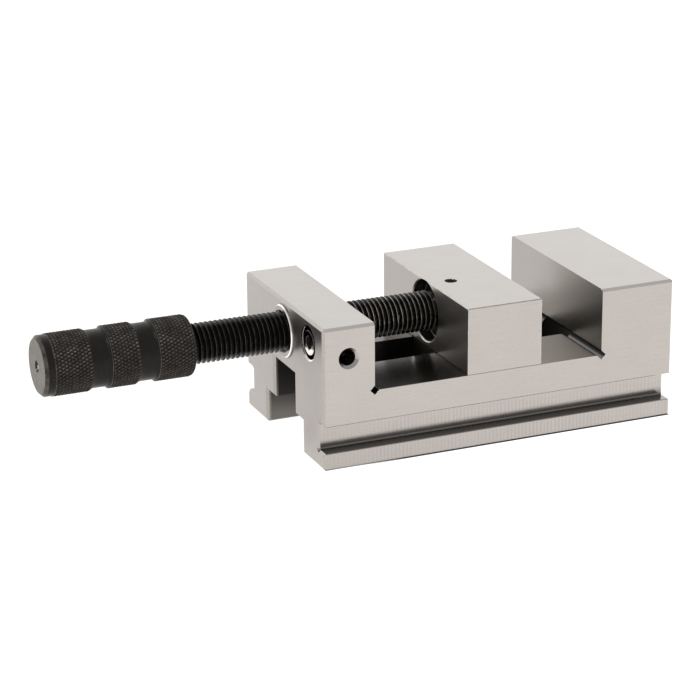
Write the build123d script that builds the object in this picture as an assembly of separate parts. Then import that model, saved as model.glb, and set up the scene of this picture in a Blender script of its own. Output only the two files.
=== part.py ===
from build123d import *
from math import cos, pi, radians, sqrt, tan
import os

# A precision toolmaker's vise with a screw. All sizes are in millimetres.
# The vise is drawn with X = 0 on the front face of the body, where the screw goes in,
# +X towards the fixed jaw, Y across the body and Z = 0 on the ground underside.
# At the end every piece moves along X, so that the origin lies under the middle of the whole vise.

# Body: one block of steel with the bed, the nut block and the fixed jaw
body_length = 150.0
body_width = 80.0
bed_height = 30.0
jaw_height = 27.0
nut_block_length = 21.3
fixed_jaw_length = 31.4
corner_relief = 1.9
edge_chamfer = 1.0
base_chamfer = 0.6

# Clamping grooves along both sides of the body
groove_floor_height = 6.9
groove_height = 10.8
groove_depth = 6.0
groove_corner_radius = 0.8
groove_edge_chamfer = 0.25

# Slot of inverted T section, through the whole length of the body
slot_width = 21.8
keeper_slot_width = 37.8
keeper_slot_height = 13.4

# Movable jaw, its tongue in the slot and where it stands
jaw_opening = 26.6
jaw_length = 31.6
jaw_edge_chamfer = 0.3
tongue_relief = 0.9
slide_clearance = 0.05
rail_clearance = 0.02

# Keeper plate under the tongue, and its screws and spring washers
keeper_end_margin = 1.0
keeper_side_clearance = 0.25
keeper_ground_gap = 2.0
keeper_screw_spacing = 16.0
keeper_screw_length = 14.0
washer_diameter = 9.8
washer_thickness = 1.5

# Socket head cap screws of the keeper and of the stop rod clamp
cap_screw_diameter = 6.0
cap_head_diameter = 10.0
cap_head_height = 6.0
cap_socket_width = 5.0
cap_socket_depth = 3.0
counterbore_gap = 0.6
head_recess = 0.3
screw_hole_reserve = 1.3

# Spindle: a screw with a plain nose that turns in the movable jaw
spindle_height_share = 0.53
spindle_diameter = 16.0
thread_length = 104.9
thread_end_chamfer = 1.2
nose_step = 1.5
nose_length = 16.0
nose_chamfer = 0.75
neck_position = 4.0
neck_diameter = 7.0
shank_diameter = 12.0
shank_length = 44.0
running_clearance = 0.05
press_clearance = 0.01

# Recess in the movable jaw round the end of the thread
recess_gap = 4.4
recess_depth = 5.5
shoulder_gap = 0.5
recess_chamfer = 0.4

# Hardened pad that takes the thrust of the nose
pad_thickness = 3.0

# Retaining pin beside the neck, and the grub screw that closes its hole
retaining_pin_diameter = 3.0
pin_hole_below_axis = 8.0
pin_end_gap = 0.5
grub_diameter = 5.0
grub_recess = 1.0
grub_socket_width = 2.5
grub_socket_depth = 2.4

# Threaded bush in the nut block, with a lip that stands out of the front face,
# and the grub screw that locks it from below
bush_wall = 2.7
bush_lip_height = 0.9
bush_lip_chamfer = 0.6
bush_mouth_chamfer = 0.5
bush_lock_depth = 1.6
bush_lock_recess = 0.4

# Cross bore for a work stop rod, and its clamp screw in the front face
stop_bore_diameter = 6.2
stop_bore_depth = 22.0
stop_bore_chamfer = 1.15
clamp_screw_inset = 14.6
clamp_screw_rise = 3.1
clamp_screw_length = 10.0
clamp_counterbore_gap = 1.6
clamp_head_recess = 0.2
clamp_mouth_chamfer = 0.5

# Handle: a turned grip with three full bands and two waists
handle_diameter = 24.2
handle_face_chamfer = 1.2
handle_rim_length = 3.4
handle_rim_step = 0.35
outer_band_length = 15.0
middle_band_length = 10.9
inner_band_length = 13.3
waist_length = 7.8
waist_depth = 0.95
waist_blend = 1.8
handle_inner_chamfer = 1.8
centre_hole_diameter = 4.8
centre_hole_bottom = 1.6
centre_hole_angle = 60.0
shank_hole_reserve = 1.0

# How far a cut reaches past the face that it opens
overcut = 1.0

# Places worked out from the sizes
half_width = body_width / 2
jaw_top_height = bed_height + jaw_height
spindle_axis_height = bed_height + spindle_height_share * jaw_height
fixed_jaw_x = body_length - fixed_jaw_length
jaw_front_x = fixed_jaw_x - jaw_opening
jaw_back_x = jaw_front_x - jaw_length
jaw_middle_x = (jaw_front_x + jaw_back_x) / 2
jaw_bottom_z = bed_height + rail_clearance
tongue_width = slot_width - 2 * slide_clearance
tongue_bottom_z = keeper_slot_height - slide_clearance
recess_diameter = spindle_diameter + 2 * recess_gap
recess_bottom_x = jaw_back_x + recess_depth
thread_end_x = recess_bottom_x - shoulder_gap
handle_inner_x = thread_end_x - thread_length
band_lengths = outer_band_length + middle_band_length + inner_band_length
handle_length = handle_rim_length + band_lengths + 2 * waist_length + handle_inner_chamfer
handle_outer_x = handle_inner_x - handle_length
nose_diameter = spindle_diameter - 2 * nose_step
nose_bore_diameter = nose_diameter + 2 * running_clearance
nose_end_x = thread_end_x + nose_length
pad_face_x = nose_end_x + running_clearance
pad_back_x = pad_face_x + pad_thickness
pin_x = thread_end_x + neck_position
pin_hole_diameter = retaining_pin_diameter + 2 * running_clearance
pin_y = -(neck_diameter + retaining_pin_diameter) / 2 - 2 * running_clearance
grub_hole_diameter = grub_diameter + 2 * running_clearance
grub_top_z = jaw_top_height - grub_recess
grub_bottom_z = spindle_axis_height + nose_bore_diameter / 2
pin_bottom_z = spindle_axis_height - pin_hole_below_axis
pin_top_z = grub_bottom_z - pin_end_gap
bush_bore_diameter = spindle_diameter + 2 * running_clearance
bush_diameter = bush_bore_diameter + 2 * bush_wall
bush_bottom_z = spindle_axis_height - bush_diameter / 2
bush_lock_bottom_z = bed_height + bush_lock_recess
bush_lock_top_z = bush_bottom_z + bush_lock_depth
counterbore_diameter = cap_head_diameter + 2 * counterbore_gap
clamp_counterbore_diameter = cap_head_diameter + 2 * clamp_counterbore_gap
cap_hole_diameter = cap_screw_diameter + 2 * running_clearance
stop_bore_x = nut_block_length / 2
clamp_y = clamp_screw_inset - half_width
clamp_z = spindle_axis_height + clamp_screw_rise
clamp_seat_x = clamp_head_recess + cap_head_height
keeper_length = jaw_length - 2 * keeper_end_margin
keeper_width = keeper_slot_width - 2 * keeper_side_clearance
keeper_seat_z = keeper_ground_gap + head_recess + cap_head_height + washer_thickness
keeper_head_z = keeper_seat_z - washer_thickness
keeper_hole_top_z = keeper_head_z + keeper_screw_length + screw_hole_reserve
keeper_screw_places = [jaw_middle_x - keeper_screw_spacing / 2, jaw_middle_x + keeper_screw_spacing / 2]
origin_shift = -(handle_outer_x + body_length) / 2


def block(x0, x1, width, z0, z1):
    """A block between two X places and two heights, centred on Y."""
    return Pos((x0 + x1) / 2, 0, (z0 + z1) / 2) * Box(x1 - x0, width, z1 - z0)


def rod_x(diameter, x0, x1, y=0.0, z=spindle_axis_height):
    """A round bar along X between two places."""
    return Pos((x0 + x1) / 2, y, z) * Rot(0, 90, 0) * Cylinder(diameter / 2, x1 - x0)


def rod_z(diameter, z0, z1, x, y=0.0):
    """A round bar along Z between two heights."""
    return Pos(x, y, (z0 + z1) / 2) * Cylinder(diameter / 2, z1 - z0)


def cone_x(start_diameter, end_diameter, x0, x1, y=0.0, z=spindle_axis_height):
    """A cone along X whose first diameter is at x0."""
    return Pos((x0 + x1) / 2, y, z) * Rot(0, 90, 0) * Cone(start_diameter / 2, end_diameter / 2, x1 - x0)


def relief_y(size, x, z):
    """A square bar on its edge across the body, which cuts a corner free. Its size is half its diagonal."""
    side = size * sqrt(2)
    return Pos(x, 0, z) * Rot(0, 45, 0) * Box(side, body_width * 2, side)


def hex_socket(width, depth):
    """A hexagonal hole that opens at Z = 0 and goes down."""
    corner_radius = width / 2 / cos(pi / 6)
    return extrude(RegularPolygon(corner_radius, 6), -depth)


def base_section():
    """Section of the bed: clamping grooves outside, the inverted T slot inside."""
    groove_middle_z = groove_floor_height + groove_height / 2
    outline = Pos(0, bed_height / 2) * Rectangle(body_width, bed_height)
    groove = RectangleRounded(2 * groove_depth, groove_height, groove_corner_radius)
    narrow = Pos(0, bed_height / 2) * Rectangle(slot_width, 2 * bed_height)
    wide = Pos(0, keeper_slot_height / 2) * Rectangle(keeper_slot_width, keeper_slot_height)
    near_groove = Pos(-half_width, groove_middle_z) * groove
    far_groove = Pos(half_width, groove_middle_z) * groove
    section = outline - near_groove - far_groove - narrow - wide
    return chamfer(section.vertices().group_by(Axis.Y)[0], base_chamfer)


def make_vise_body():
    """Bed, nut block and fixed jaw, ground all over from one piece of steel."""
    bed = extrude(Plane.YZ * base_section(), body_length)
    nut_block = block(0, nut_block_length, body_width, bed_height, jaw_top_height)
    fixed_jaw = block(fixed_jaw_x, body_length, body_width, bed_height, jaw_top_height)
    body = bed + nut_block + fixed_jaw
    body -= relief_y(corner_relief, nut_block_length, bed_height)
    body -= relief_y(corner_relief, fixed_jaw_x, bed_height)
    body = chamfer_body_edges(body)
    body -= rod_x(bush_diameter, -overcut, nut_block_length + overcut)
    body -= rod_z(grub_hole_diameter, bed_height - overcut, bush_bottom_z + bush_wall, stop_bore_x)
    body -= stop_bore()
    body -= clamp_screw_hole()
    return body


def chamfer_body_edges(body):
    """Breaks the edges of the end faces, of the grooves, and along the tops of nut block and fixed jaw."""
    front = body.faces().sort_by(Axis.X)[0]
    body = chamfer(front.outer_wire().edges(), edge_chamfer)
    back = body.faces().sort_by(Axis.X)[-1]
    body = chamfer(back.outer_wire().edges(), base_chamfer)
    tops = body.faces().filter_by(Axis.Z).group_by(Axis.Z)[-1]
    side_edges = [edge for face in tops for edge in face.edges().filter_by(Axis.X)]
    body = chamfer(side_edges, edge_chamfer)
    outer_edges = body.edges().filter_by(Axis.X).group_by(lambda edge: round(abs(edge.center().Y), 3))[-1]
    groove_edges = outer_edges.filter_by_position(Axis.Z, edge_chamfer, bed_height - edge_chamfer)
    return chamfer(groove_edges, groove_edge_chamfer)


def stop_bore():
    """Blind bore for a stop rod in the near side of the nut block, with a wide mouth chamfer."""
    radius = stop_bore_diameter / 2
    length = stop_bore_depth + overcut
    bore = Pos(0, 0, overcut - length / 2) * Cylinder(radius, length)
    mouth = Pos(0, 0, -stop_bore_chamfer / 2) * Cone(radius, radius + stop_bore_chamfer, stop_bore_chamfer)
    lay_along_y = Rot(90, 0, 0)
    return Pos(stop_bore_x, -half_width, spindle_axis_height) * lay_along_y * (bore + mouth)


def clamp_screw_hole():
    """Counterbore, mouth chamfer and screw hole of the stop clamp, in the front face."""
    hole_end = clamp_seat_x + clamp_screw_length + screw_hole_reserve
    mouth_diameter = clamp_counterbore_diameter + 2 * clamp_mouth_chamfer
    hole = rod_x(cap_hole_diameter, 0, hole_end, clamp_y, clamp_z)
    counterbore = rod_x(clamp_counterbore_diameter, -overcut, clamp_seat_x, clamp_y, clamp_z)
    mouth = cone_x(mouth_diameter, clamp_counterbore_diameter, 0, clamp_mouth_chamfer, clamp_y, clamp_z)
    return hole + counterbore + mouth


def make_nut_bush():
    """Threaded bush in the nut block. The thread is left plain at the spindle's outer diameter."""
    lip_x = -bush_lip_height
    bush = rod_x(bush_diameter, lip_x, nut_block_length)
    bush = chamfer(bush.edges().filter_by(GeomType.CIRCLE).sort_by(Axis.X)[0], bush_lip_chamfer)
    bush -= rod_x(bush_bore_diameter, lip_x - overcut, nut_block_length + overcut)
    mouth_diameter = bush_bore_diameter + 2 * bush_mouth_chamfer
    bush -= cone_x(mouth_diameter, bush_bore_diameter, lip_x, lip_x + bush_mouth_chamfer)
    lock_hole_top_z = bush_lock_top_z + running_clearance
    bush -= rod_z(grub_hole_diameter, bush_bottom_z - overcut, lock_hole_top_z, stop_bore_x)
    return bush


def grub_screw(length):
    """Grub screw that stands on Z = 0 with its socket at the top."""
    screw = Pos(0, 0, length / 2) * Cylinder(grub_diameter / 2, length)
    return screw - Pos(0, 0, length) * hex_socket(grub_socket_width, grub_socket_depth)


def make_bush_lock_screw():
    """Grub screw from the slot's ceiling into the bush, so that the bush can't turn."""
    length = bush_lock_top_z - bush_lock_bottom_z
    return Pos(stop_bore_x, 0, bush_lock_top_z) * Rot(180, 0, 0) * grub_screw(length)


def cap_screw(length):
    """Socket head cap screw with its head's top at Z = 0 and its shank downwards."""
    head = Pos(0, 0, -cap_head_height / 2) * Cylinder(cap_head_diameter / 2, cap_head_height)
    shank = Pos(0, 0, -cap_head_height - length / 2) * Cylinder(cap_screw_diameter / 2, length)
    return head + shank - hex_socket(cap_socket_width, cap_socket_depth)


def make_stop_clamp_screw():
    """Cap screw in the front face, whose shank passes over the stop rod bore like a cotter."""
    return Pos(clamp_head_recess, clamp_y, clamp_z) * Rot(0, -90, 0) * cap_screw(clamp_screw_length)


def make_movable_jaw():
    """Jaw block with a tongue that runs in the bed's slot."""
    jaw = block(jaw_back_x, jaw_front_x, body_width, jaw_bottom_z, jaw_top_height)
    top = jaw.faces().sort_by(Axis.Z)[-1]
    jaw = chamfer(top.edges(), jaw_edge_chamfer)
    jaw += block(jaw_back_x, jaw_front_x, tongue_width, tongue_bottom_z, jaw_bottom_z + overcut)
    for side in (-1, 1):
        corner = Pos(jaw_middle_x, side * tongue_width / 2, jaw_bottom_z) * Rot(45, 0, 0)
        jaw -= corner * Box(jaw_length * 2, tongue_relief * sqrt(2), tongue_relief * sqrt(2))
    jaw -= rod_x(recess_diameter, jaw_back_x - overcut, recess_bottom_x)
    recess_mouth_diameter = recess_diameter + 2 * recess_chamfer
    jaw -= cone_x(recess_mouth_diameter, recess_diameter, jaw_back_x, jaw_back_x + recess_chamfer)
    jaw -= rod_x(nose_bore_diameter, jaw_back_x, pad_back_x)
    jaw -= rod_z(pin_hole_diameter, pin_bottom_z, jaw_top_height, pin_x, pin_y)
    jaw -= rod_z(grub_hole_diameter, grub_bottom_z, jaw_top_height + overcut, pin_x, pin_y)
    for x in keeper_screw_places:
        jaw -= rod_z(cap_hole_diameter, tongue_bottom_z - overcut, keeper_hole_top_z, x)
    return jaw


def make_keeper_plate():
    """Plate in the wide part of the slot, screwed to the tongue, so that the jaw can't lift."""
    x0 = jaw_back_x + keeper_end_margin
    plate = block(x0, x0 + keeper_length, keeper_width, keeper_ground_gap, tongue_bottom_z)
    plate = chamfer(plate.edges().filter_by(Axis.Z), edge_chamfer)
    for x in keeper_screw_places:
        plate -= rod_z(cap_hole_diameter, keeper_ground_gap, tongue_bottom_z + overcut, x)
        plate -= rod_z(counterbore_diameter, keeper_ground_gap - overcut, keeper_seat_z, x)
    return plate


def make_keeper_screws():
    """The two cap screws that hold the keeper plate, heads downwards."""
    head_top_z = keeper_head_z - cap_head_height
    turn_over = Rot(180, 0, 0)
    return [Pos(x, 0, head_top_z) * turn_over * cap_screw(keeper_screw_length) for x in keeper_screw_places]


def make_keeper_washers():
    """The two spring washers under the keeper screws' heads."""
    rings = []
    for x in keeper_screw_places:
        ring = rod_z(washer_diameter, keeper_head_z, keeper_seat_z, x)
        rings.append(ring - rod_z(cap_hole_diameter, keeper_head_z - overcut, keeper_seat_z + overcut, x))
    return rings


def make_thrust_pad():
    """Hardened disc at the bottom of the nose bore."""
    return rod_x(nose_bore_diameter - 2 * press_clearance, pad_face_x, pad_back_x)


def make_retaining_pin():
    """Pin that passes beside the spindle's neck and pulls the jaw back with it."""
    return rod_z(retaining_pin_diameter, pin_bottom_z, pin_top_z, pin_x, pin_y)


def make_pin_grub_screw():
    """Grub screw in the jaw's top face, over the retaining pin."""
    return Pos(pin_x, pin_y, grub_bottom_z) * grub_screw(grub_top_z - grub_bottom_z)


def make_spindle():
    """Screw with a shank for the handle, and a nose with a neck. The thread is left plain."""
    shank_end_x = handle_inner_x - shank_length
    shank = rod_x(shank_diameter, shank_end_x, handle_inner_x)
    thread = rod_x(spindle_diameter, handle_inner_x, thread_end_x)
    thread = chamfer(thread.edges().filter_by(GeomType.CIRCLE).sort_by(Axis.X)[-1], thread_end_chamfer)
    nose = rod_x(nose_diameter, thread_end_x, nose_end_x)
    nose = chamfer(nose.edges().filter_by(GeomType.CIRCLE).sort_by(Axis.X)[-1], nose_chamfer)
    neck_half = pin_hole_diameter / 2 + running_clearance
    ring = rod_x(nose_diameter + overcut, pin_x - neck_half, pin_x + neck_half)
    ring -= rod_x(neck_diameter, pin_x - neck_half - overcut, pin_x + neck_half + overcut)
    return shank + thread + nose - ring


def handle_outline():
    """Half section of the grip in the XY plane, from the outer end at X = 0 to the inner end."""
    full = handle_diameter / 2
    low = full - waist_depth
    rim = full - handle_rim_step
    with BuildLine() as line:
        Polyline((0, 0), (0, rim - handle_face_chamfer), (handle_face_chamfer, rim), (handle_rim_length, rim))
        Line((handle_rim_length, rim), (handle_rim_length, full))
        x = handle_rim_length + outer_band_length
        Line((handle_rim_length, full), (x, full))
        for band in (middle_band_length, inner_band_length):
            waist_end = x + waist_length
            Polyline((x, full), (x + waist_blend, low), (waist_end - waist_blend, low), (waist_end, full))
            x = waist_end + band
            Line((waist_end, full), (x, full))
        Polyline((x, full), (handle_length, full - handle_inner_chamfer), (handle_length, 0), (0, 0))
    return make_face(line.line)


def make_handle():
    """Turned grip, fixed on the spindle's shank, with a centre hole in its outer face."""
    grip = Pos(handle_outer_x, 0, spindle_axis_height) * revolve(handle_outline(), Axis.X)
    hole_depth = shank_length + shank_hole_reserve
    bore = rod_x(shank_diameter + 2 * press_clearance, handle_inner_x - hole_depth, handle_inner_x + overcut)
    centre_depth = (centre_hole_diameter - centre_hole_bottom) / 2 / tan(radians(centre_hole_angle / 2))
    centre_end_x = handle_outer_x + centre_depth
    centre = cone_x(centre_hole_diameter, centre_hole_bottom, handle_outer_x, centre_end_x)
    return grip - bore - centre


def main():
    pieces = {
        "vise_body": make_vise_body(),
        "nut_bush": make_nut_bush(),
        "bush_lock_screw": make_bush_lock_screw(),
        "stop_clamp_screw": make_stop_clamp_screw(),
        "movable_jaw": make_movable_jaw(),
        "keeper_plate": make_keeper_plate(),
        "keeper_screws": make_keeper_screws(),
        "keeper_washers": make_keeper_washers(),
        "thrust_pad": make_thrust_pad(),
        "retaining_pin": make_retaining_pin(),
        "pin_grub_screw": make_pin_grub_screw(),
        "spindle": make_spindle(),
        "handle": make_handle(),
    }
    os.makedirs("parts", exist_ok=True)
    for name, piece in pieces.items():
        solids = piece if isinstance(piece, list) else [piece]
        placed = [Pos(origin_shift, 0, 0) * solid for solid in solids]
        shape = placed[0] if len(placed) == 1 else Compound(children=placed)
        export_step(shape, f"parts/{name}.step")
        print(name, "volume", round(sum(solid.volume for solid in placed), 1))


main()
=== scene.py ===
# %% [markdown]
# # A precision vise, dressed in Blender
# The vise was drawn first as exact solids, in real size. This script loads those solids as
# a fixed frame and gives them their looks. Most of the vise is flat ground steel, and there
# the drawn solids are already right: they only need a good finish. The screw thread, the
# knurled handle and the cap screws have fine shapes that the solids leave out, so these are
# built here as new meshes that take the place of the plain ones.

# %% Load the drawn solids
import math

import bmesh
import bpy
import numpy as np
from mathutils import Matrix, Vector


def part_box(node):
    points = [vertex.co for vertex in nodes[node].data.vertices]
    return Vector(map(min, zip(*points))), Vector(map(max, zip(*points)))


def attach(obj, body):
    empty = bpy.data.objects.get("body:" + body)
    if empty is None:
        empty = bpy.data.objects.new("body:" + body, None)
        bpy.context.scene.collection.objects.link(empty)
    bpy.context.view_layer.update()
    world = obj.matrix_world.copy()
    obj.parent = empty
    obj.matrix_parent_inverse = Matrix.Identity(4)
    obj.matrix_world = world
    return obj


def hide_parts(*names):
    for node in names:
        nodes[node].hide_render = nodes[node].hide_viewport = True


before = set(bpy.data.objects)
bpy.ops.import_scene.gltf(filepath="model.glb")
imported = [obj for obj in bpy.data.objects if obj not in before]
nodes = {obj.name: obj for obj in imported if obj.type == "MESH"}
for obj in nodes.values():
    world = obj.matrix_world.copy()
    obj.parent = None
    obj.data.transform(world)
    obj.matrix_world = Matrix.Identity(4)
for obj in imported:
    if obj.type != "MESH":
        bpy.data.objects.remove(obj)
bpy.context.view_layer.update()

MM = 0.001

# %% [markdown]
# ## The camera
# The photograph was taken with a long lens from the front left, a little above the vise.
# A long lens keeps the far end of the vise almost as large as the near end. The angles and
# the lens were found by fitting the drawn sizes to the corners that the photograph shows,
# so the picture made here can be laid over it.

# %% Camera at the photograph's angle
LENS_LENGTH = 137.2
FARTHEST_VIEW = 20.0
CAMERA_ROLL = math.radians(-0.436)
camera_place = Vector((-0.38444, -0.91235, 0.38185))
look_at = Vector((0.00634, 0.00827, 0.02918))
scene = bpy.context.scene


def new_object(name, data):
    """Puts an object with this data into the scene."""
    thing = bpy.data.objects.new(name, data)
    scene.collection.objects.link(thing)
    return thing


def aimed(place, target):
    """A matrix that puts a camera or a lamp at a place and aims it, without any roll."""
    turn = (target - place).to_track_quat("-Z", "Y").to_matrix().to_4x4()
    return Matrix.Translation(place) @ turn


camera_data = bpy.data.cameras.new("photo_camera")
camera_data.lens = LENS_LENGTH
camera_data.clip_end = FARTHEST_VIEW
camera = new_object("photo_camera", camera_data)
camera.matrix_world = aimed(camera_place, look_at) @ Matrix.Rotation(CAMERA_ROLL, 4, "Z")
scene.camera = camera
print("camera distance in mm:", round((look_at - camera_place).length / MM))

# %% [markdown]
# ## Helpers for lights and finishes
# A finish is a small network of nodes, and so is the light that fills the air. Here the values
# in it can be written in sums, as numbers can: each sum adds the node that does it. A
# comparison makes a mask, which is 1 where it holds and 0 elsewhere, and masks that are
# multiplied hold where all of them do. So a finish can change in one slot or round one hole.

# %% Values in a network of nodes


def add_node(tree, kind, **settings):
    """Adds one node and sets its options."""
    node = tree.nodes.new(kind)
    for option, value in settings.items():
        setattr(node, option, value)
    return node


def feed(socket, source):
    """Puts a constant into a socket, or links a value of the network to it."""
    if isinstance(source, Value):
        source.tree.links.new(source.socket, socket)
    else:
        socket.default_value = source


def feed_all(node, *sources):
    """Feeds the first inputs of a node in turn, and gives the value of its first output."""
    for socket, source in zip(node.inputs, sources):
        feed(socket, source)
    return Value(node.outputs[0])


def math_of(tree, operation, *sources, clamp=False):
    """One sum: multiply, add, power and so on."""
    node = add_node(tree, "ShaderNodeMath", operation=operation, use_clamp=clamp)
    return feed_all(node, *sources)


class Value:
    """A number, place or direction in a network of nodes."""

    def __init__(self, socket):
        self.socket = socket
        self.tree = socket.id_data
        self.split = None

    def sum(self, operation, *others, clamp=False):
        """A sum that starts with this value."""
        return math_of(self.tree, operation, self, *others, clamp=clamp)

    def __add__(self, other):
        return self.sum("ADD", other)

    def __mul__(self, other):
        return self.sum("MULTIPLY", other)

    def __truediv__(self, other):
        return self.sum("DIVIDE", other)

    def __rtruediv__(self, other):
        return math_of(self.tree, "DIVIDE", other, self)

    def __rsub__(self, other):
        return math_of(self.tree, "SUBTRACT", other, self)

    def __abs__(self):
        return self.sum("ABSOLUTE")

    def __gt__(self, limit):
        return self.sum("GREATER_THAN", limit)

    def __lt__(self, limit):
        return self.sum("LESS_THAN", limit)

    def between(self, low, high):
        """A mask that holds between two limits."""
        return (self > low) * (self < high)

    def part(self, index):
        """The x, y or z of a place or direction."""
        if not self.split:
            self.split = add_node(self.tree, "ShaderNodeSeparateXYZ")
            feed(self.split.inputs[0], self)
        return Value(self.split.outputs[index])

    x = property(lambda self: self.part(0))
    y = property(lambda self: self.part(1))
    z = property(lambda self: self.part(2))

    def vector(self, operation, *others):
        """A sum with places or directions."""
        node = add_node(self.tree, "ShaderNodeVectorMath", operation=operation)
        result = feed_all(node, self, *others)
        return Value(node.outputs["Value"]) if operation in ("DOT_PRODUCT", "LENGTH") else result

    def span(self, low, high, out_low=0.0, out_high=1.0, kind="LINEAR"):
        """Stretches low to high over out_low to out_high, and cuts off the rest."""
        node = add_node(self.tree, "ShaderNodeMapRange", clamp=True, interpolation_type=kind)
        return feed_all(node, self, low, high, out_low, out_high)

    def cloud(self, scale, detail=2.0, roughness=0.5):
        """Soft noise at this place, with so many features in each metre."""
        node = add_node(self.tree, "ShaderNodeTexNoise")
        settings = {"Vector": self, "Scale": scale, "Detail": detail, "Roughness": roughness}
        for label, source in settings.items():
            feed(node.inputs[label], source)
        return Value(node.outputs["Fac"])


def joined(*parts):
    """One place from two or three numbers."""
    return feed_all(add_node(parts[0].tree, "ShaderNodeCombineXYZ"), *parts)


MIX_SOCKETS = {"FLOAT": (2, 3, 0), "VECTOR": (4, 5, 1), "RGBA": (6, 7, 2)}


def blend(kind, share, first, second):
    """Mixes two numbers, directions or colours by a share from 0 to 1."""
    node = add_node(share.tree, "ShaderNodeMix", data_type=kind)
    first_socket, second_socket, output = MIX_SOCKETS[kind]
    for socket, source in ((0, share), (first_socket, first), (second_socket, second)):
        feed(node.inputs[socket], source)
    return Value(node.outputs[output])


def spot_of(tree):
    """Where a spot lies on the vise, and which way it faces."""
    spot = add_node(tree, "ShaderNodeTexCoord")
    return Value(spot.outputs["Object"]), Value(spot.outputs["Normal"])


def round_axis(tree, y, z):
    """Where a spot lies round a line along X, as seen from that line."""
    return spot_of(tree)[0].vector("MULTIPLY_ADD", (0, 1, 1), (0, -y, -z))


def from_axis(tree, y, z):
    """Distance from a line along X, in metres."""
    return round_axis(tree, y, z).vector("LENGTH")


print("values ready")

# %% Groups and finishes


def new_group(name, inputs, outputs, directions=()):
    """A node group with named number inputs and outputs, and outputs that are directions."""
    tree = bpy.data.node_groups.new(name, "ShaderNodeTree")
    new_socket = tree.interface.new_socket
    for label in inputs:
        new_socket(label, in_out="INPUT", socket_type="NodeSocketFloat")
    for label in outputs:
        new_socket(label, in_out="OUTPUT", socket_type="NodeSocketFloat")
    for label in directions:
        new_socket(label, in_out="OUTPUT", socket_type="NodeSocketVector")
    given = add_node(tree, "NodeGroupInput").outputs
    wanted = {label: Value(given[label]) for label in inputs}
    return tree, wanted, add_node(tree, "NodeGroupOutput").inputs


def use_group(tree, group, **values):
    """Places a group in a material with that material's own values, and gives its outputs."""
    node = add_node(tree, "ShaderNodeGroup", node_tree=group)
    for label, value in values.items():
        feed(node.inputs[label.replace("_", " ")], value)
    return {output.name: Value(output) for output in node.outputs}


def surface_of(material):
    """The inputs of a material's surface shader."""
    return material.node_tree.nodes["Principled BSDF"].inputs


def new_finish(name):
    """A plain material, with its node tree and the inputs of its surface shader."""
    material = bpy.data.materials.new(name)
    material.use_nodes = True
    return material, material.node_tree, surface_of(material)


print("group helpers ready")

# %% [markdown]
# ## Floor and light
# Polished steel shows whatever stands round it, so the surroundings matter more than the
# lamps. The vise stands on a white table that glows from inside, so that no cast shadow lies
# round it. The table glows more in front than behind. Under the vise and in a thin rim round
# its foot the glow is cut out, a painted shadow, so that its slot stays dark. The air is
# brightest low behind on the right, which lights the tops, and dimmer overhead, which makes
# the chamfers and the upper sides of round parts darker. One softbox on the left draws short
# bright lines on the screw.

# %% Lit white table
scene.view_settings.view_transform = "Standard"

FLOOR_HALF = 4.0
signs = ((-1, -1), (1, -1), (1, 1), (-1, 1))
floor_corners = [(x * FLOOR_HALF, y * FLOOR_HALF, 0) for x, y in signs]
floor_mesh = bpy.data.meshes.new("floor")
floor_mesh.from_pydata(floor_corners, [], [(0, 1, 2, 3)])
floor = new_object("floor", floor_mesh)

GLOW_BACK = 0.86
GLOW_FRONT = 1.25
GLOW_REACH = 0.1
GLOW_DIRECTION = (0.6, -0.8, 0)
GLOW_STOPS = 34 * MM
GLOW_FADES = 14 * MM
CONTACT_SHADOW = 0.5 * MM
UNDER_SIDE = 0.2 * MM
floor_paint, table, paint = new_finish("lit_white_table")
paint["Base Color"].default_value = (0.3, 0.3, 0.3, 1)
paint["Roughness"].default_value = 0.9
paint["Specular IOR Level"].default_value = 0.0
paint["Emission Color"].default_value = (1.0, 0.97, 0.955, 1)
floor_mesh.materials.append(floor_paint)

body_low, body_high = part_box("vise_body")
place = spot_of(table)[0]
glow = place.vector("DOT_PRODUCT", GLOW_DIRECTION)
glow = glow.span(-GLOW_REACH, GLOW_REACH, GLOW_BACK, GLOW_FRONT, "SMOOTHSTEP")
# Under the vise and in a thin rim round its foot the glow is cut out: a painted shadow.
in_front = place.x.span(body_low.x + GLOW_FADES, body_low.x + GLOW_STOPS, 1.0, 0.0)
behind = place.x.span(body_high.x, body_high.x + CONTACT_SHADOW)
beside = abs(place.y).span(body_high.y - UNDER_SIDE, body_high.y + CONTACT_SHADOW)
outside_painted_shadow = in_front.sum("MAXIMUM", behind).sum("MAXIMUM", beside)
feed(paint["Emission Strength"], glow * outside_painted_shadow)
print("table side in mm:", 2 * FLOOR_HALF / MM, "glow:", GLOW_BACK, "to", GLOW_FRONT)

# %% Surroundings, brightest low behind on the right, and softbox
BRIGHT_SIDE = Vector((0.1, 0.98, 0.15)).normalized()
BRIGHT = 1.38
DIM = 0.65
DIM_UP_TO = 0.4
BRIGHT_FROM = 0.92
world = bpy.data.worlds.new("studio")
world.use_nodes = True
air = world.node_tree.nodes["Background"].inputs
air["Color"].default_value = (1.0, 0.995, 0.985, 1)
all_round = Value(add_node(world.node_tree, "ShaderNodeTexCoord").outputs["Generated"])
brightness = all_round.vector("DOT_PRODUCT", BRIGHT_SIDE)
feed(air["Strength"], brightness.span(DIM_UP_TO, BRIGHT_FROM, DIM, BRIGHT, "SMOOTHSTEP"))
scene.world = world

SOFTBOX_PLACE = Vector((-0.9, -0.1, 1.1))
SOFTBOX_SIDE = 0.25
SOFTBOX_WATTS = 6.0
softbox_data = bpy.data.lights.new("left_softbox", "AREA")
softbox_data.size = SOFTBOX_SIDE
softbox_data.energy = SOFTBOX_WATTS
new_object("left_softbox", softbox_data).matrix_world = aimed(SOFTBOX_PLACE, Vector())
print("surroundings from", DIM, "to", BRIGHT, "and softbox side in mm:", SOFTBOX_SIDE / MM)

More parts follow.
